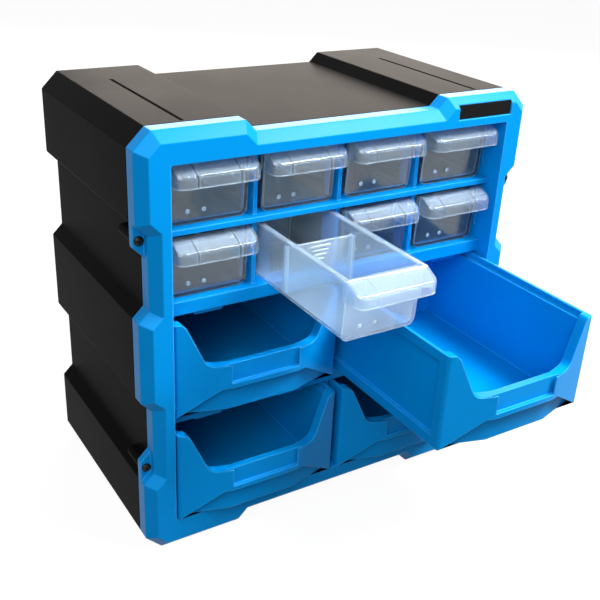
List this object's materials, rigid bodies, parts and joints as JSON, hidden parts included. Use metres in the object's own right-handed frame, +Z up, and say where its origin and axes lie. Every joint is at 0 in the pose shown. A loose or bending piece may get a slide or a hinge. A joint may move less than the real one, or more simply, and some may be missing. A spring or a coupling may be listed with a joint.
{
  "type": "parts drawer cabinet",
  "caption": "Tabletop parts cabinet: black shell with a blue front frame, small clear drawers above larger open-fronted blue bins, one drawer and one bin pulled out.",
  "frame": {"origin": "middle of the ground under the whole cabinet as stored, with one drawer and one bin pulled out", "axes": "+X to the right seen from the front, +Y from the front to the back, +Z up"},
  "size_m": [0.265, 0.2554, 0.264],
  "materials": {
    "black_plastic": "satin",
    "blue_plastic": "satin",
    "bin_blue": "satin",
    "clear_plastic": "gloss",
    "plate_black": "satin",
    "screw_steel": "satin"
  },
  "bodies": {
    "cabinet": {"rear_shell": "black_plastic", "front_frame": "blue_plastic", "blank_plate": "plate_black", "frame_screws": "screw_steel", "upper_rail": "blue_plastic", "middle_rail": "blue_plastic", "lower_rail": "blue_plastic", "upper_shelf": "black_plastic", "middle_shelf": "black_plastic", "lower_shelf": "black_plastic"},
    "small_drawer_r1_c1": {"small_drawer_r1_c1": "clear_plastic"},
    "small_drawer_r1_c2": {"small_drawer_r1_c2": "clear_plastic"},
    "small_drawer_r1_c3": {"small_drawer_r1_c3": "clear_plastic"},
    "small_drawer_r1_c4": {"small_drawer_r1_c4": "clear_plastic"},
    "small_drawer_r2_c1": {"small_drawer_r2_c1": "clear_plastic"},
    "small_drawer_r2_c2": {"small_drawer_r2_c2": "clear_plastic", "drawer_divider": "clear_plastic"},
    "small_drawer_r2_c3": {"small_drawer_r2_c3": "clear_plastic"},
    "small_drawer_r2_c4": {"small_drawer_r2_c4": "clear_plastic"},
    "bin_r1_c1": {"bin_r1_c1": "bin_blue"},
    "bin_r1_c2": {"bin_r1_c2": "bin_blue"},
    "bin_r2_c1": {"bin_r2_c1": "bin_blue"},
    "bin_r2_c2": {"bin_r2_c2": "bin_blue"}
  },
  "joints": [
    {"name": "small_drawer_r1_c1_slide", "type": "slide", "parent": "cabinet", "child": "small_drawer_r1_c1", "axis": [0, -1, 0], "range_m": [0, 0.12]},
    {"name": "small_drawer_r1_c2_slide", "type": "slide", "parent": "cabinet", "child": "small_drawer_r1_c2", "axis": [0, -1, 0], "range_m": [0, 0.12]},
    {"name": "small_drawer_r1_c3_slide", "type": "slide", "parent": "cabinet", "child": "small_drawer_r1_c3", "axis": [0, -1, 0], "range_m": [0, 0.12]},
    {"name": "small_drawer_r1_c4_slide", "type": "slide", "parent": "cabinet", "child": "small_drawer_r1_c4", "axis": [0, -1, 0], "range_m": [0, 0.12]},
    {"name": "small_drawer_r2_c1_slide", "type": "slide", "parent": "cabinet", "child": "small_drawer_r2_c1", "axis": [0, -1, 0], "range_m": [0, 0.12]},
    {"name": "small_drawer_r2_c2_slide", "type": "slide", "parent": "cabinet", "child": "small_drawer_r2_c2", "axis": [0, -1, 0], "range_m": [-0.086, 0.034]},
    {"name": "small_drawer_r2_c3_slide", "type": "slide", "parent": "cabinet", "child": "small_drawer_r2_c3", "axis": [0, -1, 0], "range_m": [0, 0.12]},
    {"name": "small_drawer_r2_c4_slide", "type": "slide", "parent": "cabinet", "child": "small_drawer_r2_c4", "axis": [0, -1, 0], "range_m": [0, 0.12]},
    {"name": "bin_r1_c1_slide", "type": "slide", "parent": "cabinet", "child": "bin_r1_c1", "axis": [0, -1, 0], "range_m": [0, 0.125]},
    {"name": "bin_r1_c2_slide", "type": "slide", "parent": "cabinet", "child": "bin_r1_c2", "axis": [0, -1, 0], "range_m": [-0.097, 0.028]},
    {"name": "bin_r2_c1_slide", "type": "slide", "parent": "cabinet", "child": "bin_r2_c1", "axis": [0, -1, 0], "range_m": [-0.004, 0.121]},
    {"name": "bin_r2_c2_slide", "type": "slide", "parent": "cabinet", "child": "bin_r2_c2", "axis": [0, -1, 0], "range_m": [-0.004, 0.121]}
  ]
}
